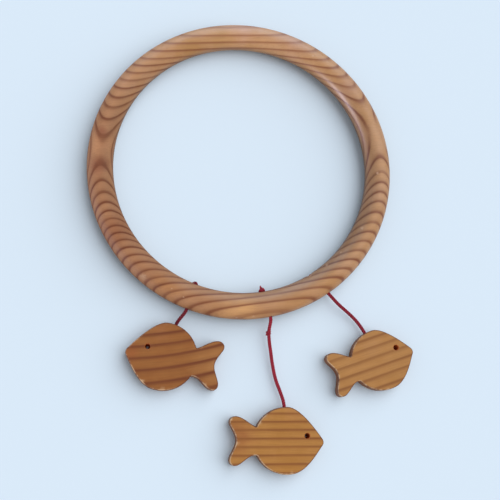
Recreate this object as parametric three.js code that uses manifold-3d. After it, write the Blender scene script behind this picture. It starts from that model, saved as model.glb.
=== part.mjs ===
// Ring mobile: a turned pine ring with three flat pine fish on red cords, laid out on a table.
//
// Millimetres, +Z up from the table, +Y towards the top of the ring. The origin is where a wall
// nail carries the ring: under the middle of its inner edge at the top, on the plane it lies on.
// Angles round the ring are counted from its lowest point, positive towards +X.

import * as THREE from 'three';
import { mergeVertices } from 'three/addons/utils/BufferGeometryUtils.js';
import Module from 'manifold-3d';

const wasm = await Module();
wasm.setup();

// Driving dimensions of the ring: an oval section, 17 wide and 15 high, turned to 200 across
const RING_OUTER_DIAMETER = 200;
const RING_SECTION_WIDTH = 17;
const RING_SECTION_HEIGHT = 15;

// Driving dimensions of the fish. The round body's radius is a share of the fish's length
const LEFT_FISH_LENGTH = 60.9;
const MIDDLE_FISH_LENGTH = 59.5;
const RIGHT_FISH_LENGTH = 56.1;
const FISH_THICKNESS = 9;
const FISH_BODY_RADIUS_SHARE = 0.348;
const FISH_EDGE_ROUNDING = 0.8;
const EYE_DIAMETER = 3.4;
const SOCKET_DEPTH = 6.6;

// Driving dimensions of the cords and their stopper knots
const CORD_DIAMETER = 2.3;
const CORD_CLEARANCE = 0.45;
const KNOT_DIAMETER = 4.4;
const KNOT_LENGTH = 3.8;
const KNOT_CLEARANCE = 0.4;
const KNOT_SEAT_DEPTH = 5;
const TOUCHING_GAP = 0.3;

// How finely round things are cut into flat facets
const RING_SEGMENTS = 96;
const SECTION_SIDES = 20;
const CURVE_STEPS = 5;
const DRILL_SIDES = 16;
const CORD_SIDES = 8;
const KNOT_SIDES = 12;
const CORD_STEP_DIAMETERS = 2;
const SHORTEST_OUTLINE_EDGE = 0.2;

// Sizes that follow from the driving ones
const ringOuterRadius = RING_OUTER_DIAMETER / 2;
const ringInnerRadius = ringOuterRadius - RING_SECTION_WIDTH;
const ringMiddleRadius = ringOuterRadius - RING_SECTION_WIDTH / 2;
const ringMidHeight = RING_SECTION_HEIGHT / 2;
const ringCentre = new THREE.Vector3(0, -ringInnerRadius, ringMidHeight);
const boreRadius = CORD_DIAMETER / 2 + CORD_CLEARANCE;
const knotSeatRadius = KNOT_DIAMETER / 2 + KNOT_CLEARANCE;
const drillOvershoot = 3 * CORD_DIAMETER;

// The three pendants. boreAngle and boreSlant are in degrees: where the bore crosses the middle of
// the ring's section, and how far it leans from straight out. knotProud is how far the knot stands
// out of the ring's inner face, and cordTail the cut end beyond the knot. Each fish has its own
// length, turn in degrees, facing and socket angle, and its eye is in hundredths of its length.
// A cord's route runs from its knot to the bottom of the fish's socket. The route and the middle of
// the fish's body are counted in x and y from where the bore crosses the middle of the ring's
// section, and the route's height from the table. hitchAt is the route point that a hitch sits on.
const PENDANTS = [
  {
    side: 'left', boreAngle: -20.4, boreSlant: 3.2, knotProud: 1.3, cordTail: 0,
    fish: {
      length: LEFT_FISH_LENGTH, middle: [-16.6, -38.0], turn: -8.4, facing: -1,
      eye: [17.4, 7.4], socketAngle: -12.1,
    },
    colour: 0x9b643a,
    route: [
      [1.7, 5.5, 7.5], [0.9, 2.8, 7.5], [0, 0, 7.5], [-1.2, -4.0, 7.5],
      [-2.4, -7.8, 7.5], [-3.1, -9.5, 7.4], [-4.2, -11.2, 7.1], [-5.6, -12.9, 6.5],
      [-7.0, -14.6, 5.8], [-8.2, -16.4, 5.1], [-9.1, -18.2, 4.7], [-9.8, -19.8, 4.5],
      [-10.4, -21.5, 4.5], [-10.8, -22.6, 4.5], [-11.2, -23.6, 4.5],
    ],
  },
  {
    side: 'middle', boreAngle: 10.35, boreSlant: 8.3, knotProud: 2.4, cordTail: 1.5, hitchAt: 8,
    fish: {
      length: MIDDLE_FISH_LENGTH, middle: [12.5, -85.3], turn: -1, facing: 1,
      eye: [21.4, 5.2], socketAngle: -3.4,
    },
    colour: 0xac7844,
    route: [
      [-2.2, 6.5, 7.5], [-1.1, 3.3, 7.5], [0, 0, 7.5], [1.4, -4.1, 7.5],
      [2.5, -7.5, 7.5], [2.8, -9.6, 7.4], [2.6, -12.0, 7.1], [2.0, -15.1, 6.6],
      [1.7, -18.2, 6.1], [1.9, -21.4, 5.6], [2.3, -25.1, 5.1], [3.0, -29.5, 4.6],
      [3.6, -33.9, 4.2], [4.2, -37.7, 3.9], [4.9, -41.5, 3.7], [5.7, -45.2, 3.6],
      [6.8, -49.0, 3.6], [8.2, -52.7, 3.7], [9.6, -56.5, 3.9], [10.8, -60.2, 4.3],
      [11.4, -63.4, 4.5], [11.7, -67.0, 4.5], [11.8, -70.4, 4.5],
    ],
  },
  {
    side: 'right', boreAngle: 33.6, boreSlant: 12, knotProud: -0.5, cordTail: 0,
    fish: {
      length: RIGHT_FISH_LENGTH, middle: [39.7, -48.4], turn: 17.7, facing: 1,
      eye: [21.1, 7.8], socketAngle: -10.7,
    },
    colour: 0xac7844,
    route: [
      [-3.0, 2.9, 7.5], [0, 0, 7.5], [3.1, -3.0, 7.5], [6.1, -5.9, 7.4],
      [8.9, -8.8, 7.1], [11.9, -11.8, 6.5], [15.1, -14.6, 5.8], [18.4, -17.2, 5.1],
      [21.6, -19.9, 4.5], [24.5, -22.7, 4.1], [26.8, -25.5, 4.0], [28.7, -28.2, 4.2],
      [30.2, -30.9, 4.5], [31.6, -33.4, 4.5], [33.1, -36.1, 4.5],
    ],
  },
];

// The small hitch on the middle cord
const HITCH_LENGTH = 4.4;
const HITCH_DIAMETER = 4.6;

const radians = THREE.MathUtils.degToRad;

// Closed mesh to solid, and back
function solidOf(geometry) {
  geometry.deleteAttribute('normal');
  geometry.deleteAttribute('uv');
  const merged = mergeVertices(geometry, 1e-4);
  return new wasm.Manifold(new wasm.Mesh({
    numProp: 3,
    vertProperties: new Float32Array(merged.attributes.position.array),
    triVerts: new Uint32Array(merged.index.array),
  }));
}

function geometryOf(solid) {
  const mesh = solid.getMesh();
  const geometry = new THREE.BufferGeometry();
  geometry.setAttribute('position', new THREE.BufferAttribute(new Float32Array(mesh.vertProperties), 3));
  geometry.setIndex(new THREE.BufferAttribute(new Uint32Array(mesh.triVerts), 1));
  geometry.computeVertexNormals();
  return geometry;
}

function wood(colour) {
  return new THREE.MeshStandardMaterial({ color: colour, roughness: 0.45, metalness: 0 });
}

function cotton() {
  return new THREE.MeshStandardMaterial({ color: 0x96232f, roughness: 0.9, metalness: 0 });
}

// A rod with its middle at a point and its length along a direction, used as a drill
function rodAlong(radius, from, direction, start, end) {
  const rod = new THREE.CylinderGeometry(radius, radius, end - start, DRILL_SIDES);
  const middle = from.clone().addScaledVector(direction, (start + end) / 2);
  const turn = new THREE.Quaternion().setFromUnitVectors(new THREE.Vector3(0, 1, 0), direction);
  rod.applyQuaternion(turn);
  rod.translate(middle.x, middle.y, middle.z);
  return rod;
}

// Each bore's axis: a point in the middle of the ring's section and the way out of the ring
function boreAxis(pendant) {
  const angle = radians(pendant.boreAngle);
  const way = angle + radians(pendant.boreSlant);
  const point = new THREE.Vector3(Math.sin(angle), -Math.cos(angle), 0)
    .multiplyScalar(ringMiddleRadius).add(ringCentre);
  const direction = new THREE.Vector3(Math.sin(way), -Math.cos(way), 0);
  const toInnerFace = RING_SECTION_WIDTH / 2 / Math.cos(radians(pendant.boreSlant));
  return { point, direction, toInnerFace };
}

// The ring: an oval section with a narrow flat below and above, turned round the ring's axis
function ringSolid() {
  const roundOut = 1 / Math.cos(Math.PI / SECTION_SIDES);
  const section = [];
  for (let i = 0; i <= SECTION_SIDES; i++) {
    const angle = ((i % SECTION_SIDES) + 0.5) / SECTION_SIDES * 2 * Math.PI;
    section.push(new THREE.Vector2(
      ringMiddleRadius + Math.cos(angle) * RING_SECTION_WIDTH / 2 * roundOut,
      Math.sin(angle) * RING_SECTION_HEIGHT / 2 * roundOut,
    ));
  }
  const turned = new THREE.LatheGeometry(section, RING_SEGMENTS);
  turned.rotateX(Math.PI / 2);
  turned.translate(ringCentre.x, ringCentre.y, ringCentre.z);
  let ring = solidOf(turned);
  for (const pendant of PENDANTS) {
    const { point, direction, toInnerFace } = boreAxis(pendant);
    const reach = toInnerFace + drillOvershoot;
    const bore = solidOf(rodAlong(boreRadius, point, direction, -reach, reach));
    const seat = solidOf(rodAlong(knotSeatRadius, point, direction, -reach, KNOT_SEAT_DEPTH - toInnerFace));
    ring = ring.subtract(bore).subtract(seat);
  }
  return ring;
}

// The fish's outline, nose towards +X, in hundredths of its length from the middle of its body:
// a round body, cheeks that run to a blunt nose, and a tail of two rounded lobes
function fishOutline(length) {
  const share = length / 100;
  const at = (x, y) => [x * share, y * share];
  const bodyRadius = FISH_BODY_RADIUS_SHARE * length;
  const onBody = (angle) => [bodyRadius * Math.cos(radians(angle)), bodyRadius * Math.sin(radians(angle))];
  const outline = new THREE.Shape();
  outline.moveTo(...at(37.2, 3.4));
  outline.bezierCurveTo(...at(32.3, 10.2), ...at(14.3, 34.3), ...onBody(88));
  outline.absarc(0, 0, bodyRadius, radians(88), radians(156), false);
  outline.bezierCurveTo(...at(-32.8, 13.1), ...at(-33.8, 14.1), ...at(-35.2, 14.9));
  outline.bezierCurveTo(...at(-40.5, 17.8), ...at(-47.7, 24.4), ...at(-54.6, 24.2));
  outline.bezierCurveTo(...at(-59.6, 24.1), ...at(-62.3, 19.0), ...at(-59.6, 14.4));
  outline.bezierCurveTo(...at(-57.6, 10.5), ...at(-53.4, 5.0), ...at(-53.3, -0.8));
  outline.bezierCurveTo(...at(-53.1, -6.7), ...at(-58.6, -13.5), ...at(-59.8, -19.0));
  outline.bezierCurveTo(...at(-60.8, -23.8), ...at(-58.0, -27.1), ...at(-53.6, -26.6));
  outline.bezierCurveTo(...at(-47.7, -25.9), ...at(-41.9, -17.9), ...at(-36.2, -16.2));
  outline.bezierCurveTo(...at(-34.3, -15.6), ...at(-32.6, -15.4), ...onBody(207.2));
  outline.absarc(0, 0, bodyRadius, radians(207.2), radians(283), false);
  outline.bezierCurveTo(...at(21.3, -30.8), ...at(31.3, -14.2), ...at(37.2, -5.5));
  outline.quadraticCurveTo(...at(40.9, -1.2), ...at(37.2, 3.4));
  return outline.getPoints(CURVE_STEPS).filter((point, i, all) => (
    point.distanceTo(all[(i + 1) % all.length]) > SHORTEST_OUTLINE_EDGE
  ));
}

// A fish sawn from board, in its own frame: body's middle at the origin, lying on z = 0
function fishSolid({ length, facing, eye, socketAngle }) {
  const points = fishOutline(length).map((point) => new THREE.Vector2(point.x * facing, point.y));
  const board = new THREE.ExtrudeGeometry(new THREE.Shape(points), {
    depth: FISH_THICKNESS - 2 * FISH_EDGE_ROUNDING,
    bevelThickness: FISH_EDGE_ROUNDING,
    bevelSize: FISH_EDGE_ROUNDING,
    bevelOffset: -FISH_EDGE_ROUNDING,
    bevelSegments: 2,
  });
  board.translate(0, 0, FISH_EDGE_ROUNDING);
  const share = length / 100;
  const eyeFoot = new THREE.Vector3(eye[0] * facing * share, eye[1] * share, 0);
  const up = new THREE.Vector3(0, 0, 1);
  const eyeHole = rodAlong(EYE_DIAMETER / 2, eyeFoot, up, -drillOvershoot, FISH_THICKNESS + drillOvershoot);
  const angle = radians(socketAngle) * facing;
  const out = new THREE.Vector3(Math.sin(angle), Math.cos(angle), 0);
  const bodyRadius = FISH_BODY_RADIUS_SHARE * length;
  const middle = new THREE.Vector3(0, 0, FISH_THICKNESS / 2);
  const socket = rodAlong(boreRadius, middle, out, bodyRadius - SOCKET_DEPTH, bodyRadius + drillOvershoot);
  return solidOf(board).subtract(solidOf(eyeHole)).subtract(solidOf(socket));
}

// A pendant's route, from its bore's own place to the mobile's
function routeOf(pendant) {
  const { point } = boreAxis(pendant);
  return pendant.route.map(([x, y, z]) => new THREE.Vector3(point.x + x, point.y + y, z));
}

// A cord: a plain tube along its route
function cordGeometry(route) {
  const path = new THREE.CatmullRomCurve3(route);
  const section = [];
  for (let i = 0; i < CORD_SIDES; i++) {
    const angle = i / CORD_SIDES * 2 * Math.PI;
    section.push(new THREE.Vector2(Math.cos(angle), Math.sin(angle)).multiplyScalar(CORD_DIAMETER / 2));
  }
  const steps = Math.round(path.getLength() / (CORD_STEP_DIAMETERS * CORD_DIAMETER));
  return new THREE.ExtrudeGeometry(new THREE.Shape(section), { steps, extrudePath: path });
}

// A stopper knot: a rounded lump on the bore's axis, with the cord's cut end standing off it
function knotGeometry(pendant) {
  const { point, direction, toInnerFace } = boreAxis(pendant);
  const radius = KNOT_DIAMETER / 2;
  const half = KNOT_LENGTH / 2;
  const profile = [
    new THREE.Vector2(0, -half),
    new THREE.Vector2(0.55 * radius, -half),
    new THREE.Vector2(radius, -0.45 * half),
    new THREE.Vector2(radius, 0.45 * half),
    new THREE.Vector2(0.62 * radius, half),
    new THREE.Vector2(0.42 * radius, half + pendant.cordTail),
    new THREE.Vector2(0, half + pendant.cordTail),
  ];
  const knot = new THREE.LatheGeometry(profile, KNOT_SIDES);
  const inward = direction.clone().negate();
  knot.applyQuaternion(new THREE.Quaternion().setFromUnitVectors(new THREE.Vector3(0, 1, 0), inward));
  const middle = point.clone().addScaledVector(inward, toInnerFace + pendant.knotProud - half);
  knot.translate(middle.x, middle.y, middle.z);
  return knot;
}

// A hitch: a short sleeve of cord round a cord at one of its route points, clear of it
function hitchGeometry(route, at) {
  const inner = CORD_DIAMETER / 2 + TOUCHING_GAP;
  const outer = HITCH_DIAMETER / 2;
  const half = HITCH_LENGTH / 2;
  const profile = [
    new THREE.Vector2(inner, -half),
    new THREE.Vector2(outer, -0.5 * half),
    new THREE.Vector2(outer, 0.5 * half),
    new THREE.Vector2(inner, half),
    new THREE.Vector2(inner, -half),
  ];
  const hitch = new THREE.LatheGeometry(profile, KNOT_SIDES);
  const way = route[at + 1].clone().sub(route[at - 1]).normalize();
  hitch.applyQuaternion(new THREE.Quaternion().setFromUnitVectors(new THREE.Vector3(0, 1, 0), way));
  hitch.translate(route[at].x, route[at].y, route[at].z);
  return hitch;
}

const mobile = new THREE.Group();

function addPiece(name, geometry, material, parent = mobile) {
  const mesh = new THREE.Mesh(geometry, material);
  mesh.name = name;
  parent.add(mesh);
}

addPiece('ring', geometryOf(ringSolid()), wood(0xb88a64));

for (const pendant of PENDANTS) {
  const { middle, turn } = pendant.fish;
  const { point } = boreAxis(pendant);
  const route = routeOf(pendant);
  const lying = new THREE.Group();
  lying.position.set(point.x + middle[0], point.y + middle[1], 0);
  lying.rotation.z = radians(turn);
  mobile.add(lying);
  addPiece(`fish_${pendant.side}`, geometryOf(fishSolid(pendant.fish)), wood(pendant.colour), lying);
  addPiece(`cord_${pendant.side}`, cordGeometry(route), cotton());
  addPiece(`knot_${pendant.side}`, knotGeometry(pendant), cotton());
  if (pendant.hitchAt) {
    addPiece('knot_hitch', hitchGeometry(route, pendant.hitchAt), cotton());
  }
}

export default mobile;
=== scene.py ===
"""Looks of a ring mobile: a turned pine ring with three flat pine fish on dark red cords.

Metres, in the row frame: +Z up from the table, +Y towards the top of the ring, and the origin under the
middle of the ring's inner edge at the top. Angles round the ring are counted from its lowest point,
positive towards +X.
"""

import math

import bpy
import numpy as np
from mathutils import Matrix, Vector
from mathutils.geometry import delaunay_2d_cdt
from mathutils.noise import noise as smooth_noise


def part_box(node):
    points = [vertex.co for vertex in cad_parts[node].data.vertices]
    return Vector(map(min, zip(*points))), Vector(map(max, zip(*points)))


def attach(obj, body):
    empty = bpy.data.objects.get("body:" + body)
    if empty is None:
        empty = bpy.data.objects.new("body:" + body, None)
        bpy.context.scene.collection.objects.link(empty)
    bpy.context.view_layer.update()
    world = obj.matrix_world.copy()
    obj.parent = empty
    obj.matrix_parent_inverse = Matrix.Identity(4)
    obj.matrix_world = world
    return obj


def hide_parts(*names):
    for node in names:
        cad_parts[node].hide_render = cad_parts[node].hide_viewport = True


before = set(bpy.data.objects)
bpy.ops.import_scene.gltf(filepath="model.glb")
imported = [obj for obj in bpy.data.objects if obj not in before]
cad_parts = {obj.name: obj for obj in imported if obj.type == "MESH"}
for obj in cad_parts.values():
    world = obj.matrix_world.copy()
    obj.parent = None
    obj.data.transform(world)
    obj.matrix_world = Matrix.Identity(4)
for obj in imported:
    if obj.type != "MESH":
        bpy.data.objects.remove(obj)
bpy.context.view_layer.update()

MM = 0.001

# Sizes read off the frame
ring_low, ring_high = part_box("ring")
RING_OUTER_RADIUS = (ring_high.x - ring_low.x) / 2
RING_HEIGHT = ring_high.z - ring_low.z
RING_LOWEST_Y = ring_low.y
fish_low, fish_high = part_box("fish_middle")
FISH_THICKNESS = fish_high.z - fish_low.z

# Driving dimensions, which are the solids' own
RING_SECTION_WIDTH = 17 * MM
FISH_EDGE_ROUNDING = 0.8 * MM
FISH_BODY_RADIUS_SHARE = 0.348
EYE_DIAMETER = 3.4 * MM
SOCKET_DEPTH = 6.6 * MM
CORD_DIAMETER = 2.3 * MM
CORD_CLEARANCE = 0.45 * MM
KNOT_DIAMETER = 4.4 * MM
KNOT_LENGTH = 3.8 * MM
KNOT_CLEARANCE = 0.4 * MM
KNOT_SEAT_DEPTH = 5 * MM

RING_MIDDLE_RADIUS = RING_OUTER_RADIUS - RING_SECTION_WIDTH / 2
RING_CENTRE = Vector((0, RING_LOWEST_Y + RING_OUTER_RADIUS, RING_HEIGHT / 2))
BORE_RADIUS = CORD_DIAMETER / 2 + CORD_CLEARANCE
KNOT_SEAT_RADIUS = KNOT_DIAMETER / 2 + KNOT_CLEARANCE

# How finely the surfaces are cut
RING_SEGMENTS = 900
RING_SECTION_SIDES = 88
OUTLINE_STEP = 0.45 * MM
CAP_STEP = 1.3 * MM
DRILL_SIDES = 64
EYE_SIDES = 40
CORD_STEP = 0.25 * MM
CORD_SIDES = 24

# The three pendants. Angles, slants and turns are in degrees. knot_proud is how far the knot stands out
# of the ring's inner face, and cord_tail the cut end beyond it. A fish's eye is in hundredths of its
# length from its body's middle. A route runs from the knot to the bottom of the fish's socket. The
# route and the fish's middle are in mm, with x and y from the middle of the ring's section at the bore.
PENDANTS = {
    "left": {
        "bore_angle": -20.4, "bore_slant": 3.2, "knot_proud": 1.3 * MM, "cord_tail": 0.0,
        "fish": {
            "length": 60.9 * MM, "middle": (-16.6, -38), "turn": -8.4, "facing": -1,
            "eye": (17.4, 7.4), "socket_angle": -12.1,
        },
        "route": [
            (1.7, 5.5, 7.5), (0.9, 2.8, 7.5), (0, 0, 7.5), (-1.2, -4, 7.5), (-2.4, -7.8, 7.5),
            (-3.1, -9.5, 7.4), (-4.2, -11.2, 7.1), (-5.6, -12.9, 6.5), (-7, -14.6, 5.8),
            (-8.2, -16.4, 5.1), (-9.1, -18.2, 4.7), (-9.8, -19.8, 4.5), (-10.4, -21.5, 4.5),
            (-10.8, -22.6, 4.5), (-11.2, -23.6, 4.5),
        ],
        "length": 0.0326,
    },
    "middle": {
        "bore_angle": 10.35, "bore_slant": 8.3, "knot_proud": 2.4 * MM, "cord_tail": 1.5 * MM,
        "fish": {
            "length": 59.5 * MM, "middle": (12.5, -85.3), "turn": -1, "facing": 1,
            "eye": (21.4, 5.2), "socket_angle": -3.4,
        },
        "route": [
            (-2.2, 6.5, 7.5), (-1.1, 3.3, 7.5), (0, 0, 7.5), (1.4, -4.1, 7.5), (2.5, -7.5, 7.5),
            (2.8, -9.6, 7.4), (2.6, -12, 7.1), (2, -15.1, 6.6), (1.7, -18.2, 6.1),
            (1.9, -21.4, 5.6), (2.3, -25.1, 5.1), (3, -29.5, 4.6), (3.6, -33.9, 4.2),
            (4.2, -37.7, 3.9), (4.9, -41.5, 3.7), (5.7, -45.2, 3.6), (6.8, -49, 3.6),
            (8.2, -52.7, 3.7), (9.6, -56.5, 3.9), (10.8, -60.2, 4.3), (11.4, -63.4, 4.5),
            (11.7, -67, 4.5), (11.8, -70.4, 4.5),
        ],
        "length": 0.0793, "hitch_at": 8,
    },
    "right": {
        "bore_angle": 33.6, "bore_slant": 12, "knot_proud": -0.5 * MM, "cord_tail": 0.0,
        "fish": {
            "length": 56.1 * MM, "middle": (39.7, -48.4), "turn": 17.7, "facing": 1,
            "eye": (21.1, 7.8), "socket_angle": -10.7,
        },
        "route": [
            (-3, 2.9, 7.5), (0, 0, 7.5), (3.1, -3, 7.5), (6.1, -5.9, 7.4), (8.9, -8.8, 7.1),
            (11.9, -11.8, 6.5), (15.1, -14.6, 5.8), (18.4, -17.2, 5.1), (21.6, -19.9, 4.5),
            (24.5, -22.7, 4.1), (26.8, -25.5, 4), (28.7, -28.2, 4.2), (30.2, -30.9, 4.5),
            (31.6, -33.4, 4.5), (33.1, -36.1, 4.5),
        ],
        "length": 0.0538,
    },
}
# The point of each route where the cord leaves the ring
CORD_EXIT_POINT = 4


# The photo's camera, solved from the outline of the ring

CAMERA_PLACE = (-0.06152, -0.25241, 0.57316)
CAMERA_RIGHT = (0.99297, 0.0, 0.11840)
CAMERA_UP = (-0.02334, 0.98037, 0.19576)
CAMERA_BACK = (-0.11608, -0.19714, 0.97348)
CAMERA_SENSOR = 36
CAMERA_LENS = 64.8


def make_camera():
    data = bpy.data.cameras.new("camera")
    data.sensor_width = CAMERA_SENSOR
    data.lens = CAMERA_LENS
    data.clip_start = 0.01
    data.clip_end = 50
    camera = bpy.data.objects.new("camera", data)
    turn = Matrix((CAMERA_RIGHT, CAMERA_UP, CAMERA_BACK)).transposed().to_4x4()
    camera.matrix_world = Matrix.Translation(CAMERA_PLACE) @ turn
    bpy.context.scene.collection.objects.link(camera)
    bpy.context.scene.camera = camera


# Mesh helpers

def new_object(name, mesh):
    made = bpy.data.objects.new(name, mesh)
    bpy.context.scene.collection.objects.link(made)
    return made


def mesh_from(name, points, faces, smooth=True):
    mesh = bpy.data.meshes.new(name)
    mesh.from_pydata([tuple(map(float, p)) for p in points], [], faces)
    mesh.validate()
    mesh.polygons.foreach_set("use_smooth", [smooth] * len(mesh.polygons))
    mesh.update()
    return mesh


def add_attribute(mesh, name, values):
    attribute = mesh.attributes.new(name, "FLOAT", "POINT")
    attribute.data.foreach_set("value", np.asarray(values, np.float32))


def through_curve(points, step):
    """Points about a step apart on the centripetal Catmull-Rom curve through the given points."""
    knots = [Vector(p) for p in points]
    knots = [2 * knots[0] - knots[1], *knots, 2 * knots[-1] - knots[-2]]
    curve = []
    for p0, p1, p2, p3 in zip(knots, knots[1:], knots[2:], knots[3:]):
        t1 = math.sqrt((p1 - p0).length)
        t2 = t1 + math.sqrt((p2 - p1).length)
        t3 = t2 + math.sqrt((p3 - p2).length)
        count = max(2, round((p2 - p1).length / step))
        for i in range(count):
            t = t1 + (t2 - t1) * i / count
            a1 = p0.lerp(p1, t / t1)
            a2 = p1.lerp(p2, (t - t1) / (t2 - t1))
            a3 = p2.lerp(p3, (t - t2) / (t3 - t2))
            b1 = a1.lerp(a2, t / t2)
            b2 = a2.lerp(a3, (t - t1) / (t3 - t1))
            curve.append(b1.lerp(b2, (t - t1) / (t2 - t1)))
    curve.append(knots[-2])
    return curve


CORD_PLIES = 3
PLY_PITCH = 4.6 * MM
PLY_GROOVE = 0.24
PLY_SHARPNESS = 1.6


def cord_section(angle, twist):
    """Share of the cord's radius at an angle, and how far up its ply that is: 0 in a groove, 1 on top."""
    height = abs(math.cos(CORD_PLIES / 2 * (angle - twist)))
    return 1 - PLY_GROOVE * (1 - height) ** PLY_SHARPNESS, height


def tube_faces(rings, sides):
    """The faces of a closed tube whose points run round it, ring after ring."""
    faces = []
    for i in range(rings - 1):
        for j in range(sides):
            k = (j + 1) % sides
            faces.append((i * sides + j, i * sides + k, (i + 1) * sides + k, (i + 1) * sides + j))
    faces.append(tuple(reversed(range(sides))))
    faces.append(tuple(range((rings - 1) * sides, rings * sides)))
    return faces


def twisted_tube(name, path, radius, widths=None):
    """A closed tube of twisted plies along a path. widths are shares of the radius, one a point."""
    count = len(path)
    tangents = [
        (path[min(i + 1, count - 1)] - path[max(i - 1, 0)]).normalized() for i in range(count)
    ]
    across = tangents[0].orthogonal().normalized()
    points, heights = [], []
    travelled = 0.0
    for i, (place, tangent) in enumerate(zip(path, tangents)):
        if i:
            travelled += (place - path[i - 1]).length
            across = (across - tangent * across.dot(tangent)).normalized()
        beside = tangent.cross(across)
        twist = 2 * math.pi * travelled / PLY_PITCH
        width = radius * (widths[i] if widths else 1)
        for j in range(CORD_SIDES):
            angle = 2 * math.pi * j / CORD_SIDES
            share, height = cord_section(angle, twist)
            points.append(place + (across * math.cos(angle) + beside * math.sin(angle)) * width * share)
            heights.append(height)
    mesh = mesh_from(name, points, tube_faces(count, CORD_SIDES))
    add_attribute(mesh, "ply", heights)
    return new_object(name, mesh)


# Cords and their knots

def bore_axis(pendant):
    """A point in the middle of the ring's section, the way out, and the distance to the ring's faces."""
    angle = math.radians(pendant["bore_angle"])
    way = angle + math.radians(pendant["bore_slant"])
    point = RING_CENTRE + Vector((math.sin(angle), -math.cos(angle), 0)) * RING_MIDDLE_RADIUS
    out = Vector((math.sin(way), -math.cos(way), 0))
    to_face = RING_SECTION_WIDTH / 2 / math.cos(math.radians(pendant["bore_slant"]))
    return point, out, to_face


def route_of(pendant):
    point = bore_axis(pendant)[0]
    return [Vector((point.x + x * MM, point.y + y * MM, z * MM)) for x, y, z in pendant["route"]]


def fish_middle(pendant):
    point = bore_axis(pendant)[0]
    x, y = pendant["fish"]["middle"]
    return Vector((point.x + x * MM, point.y + y * MM, 0))


KNOT_STRAND_RADIUS = 0.95 * MM
KNOT_TURNS = 2.25
KNOT_START_ANGLE = 0.6
KNOT_TILT = 0.35 * MM
KNOT_STEPS = 80
KNOT_TAIL_STEPS = 10


def make_knot(side, pendant, cotton):
    """An overhand stopper knot on the bore's axis: two tilted turns and the cord's cut end."""
    point, out, to_face = bore_axis(pendant)
    inward = -out
    upward = Vector((0, 0, 1))
    beside = inward.cross(upward)
    strand = KNOT_STRAND_RADIUS
    tail = pendant["cord_tail"]
    outer_end = point + inward * (to_face + pendant["knot_proud"] - KNOT_LENGTH)
    path = [outer_end + inward * (0.1 * MM)]
    widths = [0.9]
    for i in range(KNOT_STEPS + 1):
        share = i / KNOT_STEPS
        angle = 2 * math.pi * KNOT_TURNS * share + KNOT_START_ANGLE
        # The strand winds out from the bore's axis at first and comes nearly back to it at last
        reach = (KNOT_DIAMETER / 2 - strand) * min(1, 5 * share, 5 * (1 - share) + 0.12)
        height = strand + (KNOT_LENGTH - 2 * strand) * share + KNOT_TILT * math.sin(angle)
        path.append(
            outer_end + inward * height
            + beside * (reach * math.cos(angle)) + upward * (reach * math.sin(angle))
        )
        widths.append(1.0)
    # The cut end tapers: a long one where the photo shows a tail, else a round stub
    top = outer_end + inward * (KNOT_LENGTH - strand)
    reach = strand * 0.7 + (0.4 * MM + tail if tail else 0)
    for i in range(1, KNOT_TAIL_STEPS + 1):
        share = i / KNOT_TAIL_STEPS
        path.append(top + inward * (reach * share))
        widths.append(1.25 - 0.95 * share if tail else 1.2 * math.sqrt(1 - 0.9 * share))
    knot = twisted_tube(f"stopper_knot_{side}", path, strand, widths)
    knot.data.materials.append(cotton)
    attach(knot, "root")
    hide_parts(f"knot_{side}")
    return knot


HITCH_STRAND_RADIUS = 0.72 * MM
HITCH_TURNS = 1.75
HITCH_START_ANGLE = 2.2
HITCH_LENGTH = 2.5 * MM
HITCH_LUMP = 0.6 * MM
HITCH_STEPS = 70


def make_hitch(pendant, cotton):
    """A small hitch tied round the middle cord, lumpier on its left side."""
    route = route_of(pendant)
    at = pendant["hitch_at"]
    place = route[at]
    along = (route[at + 1] - route[at - 1]).normalized()
    left = Vector((-1, 0, 0))
    left = (left - along * left.dot(along)).normalized()
    above = left.cross(along).normalized()
    wrap = CORD_DIAMETER / 2 - 0.4 * MM
    path, widths = [], []
    for i in range(HITCH_STEPS + 1):
        share = i / HITCH_STEPS
        angle = 2 * math.pi * HITCH_TURNS * share + HITCH_START_ANGLE
        reach = wrap + HITCH_LUMP * max(0, math.cos(angle))
        height = HITCH_LENGTH / 2 * (2 * share - 1)
        path.append(
            place + along * height + left * (reach * math.cos(angle)) + above * (reach * math.sin(angle))
        )
        widths.append(min(1, 0.35 + 9 * share, 0.35 + 9 * (1 - share)))
    hitch = twisted_tube("hitch_knot", path, HITCH_STRAND_RADIUS, widths)
    hitch.data.materials.append(cotton)
    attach(hitch, "root")
    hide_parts("knot_hitch")
    return hitch


def make_cord(side, pendant, cotton):
    route = route_of(pendant)
    path = through_curve(route, CORD_STEP)
    cord = twisted_tube(f"red_cord_{side}", path, CORD_DIAMETER / 2)
    cord.data.materials.append(cotton)
    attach(cord, "root")
    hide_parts(f"cord_{side}")
    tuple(route[CORD_EXIT_POINT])
    return cord


# The ring

def ring_surface(angle, section):
    """A point on the smooth ring, and its outward normal, by its angles in degrees round and across."""
    angle, section = math.radians(angle), math.radians(section)
    radius = RING_MIDDLE_RADIUS + math.cos(section) * RING_SECTION_WIDTH / 2
    place = RING_CENTRE + Vector((math.sin(angle) * radius, -math.cos(angle) * radius, 0))
    place.z += math.sin(section) * RING_HEIGHT / 2
    outward = Vector((math.sin(angle), -math.cos(angle), 0)) * math.cos(section) * RING_HEIGHT
    outward.z = math.sin(section) * RING_SECTION_WIDTH
    return place, outward.normalized()


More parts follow.
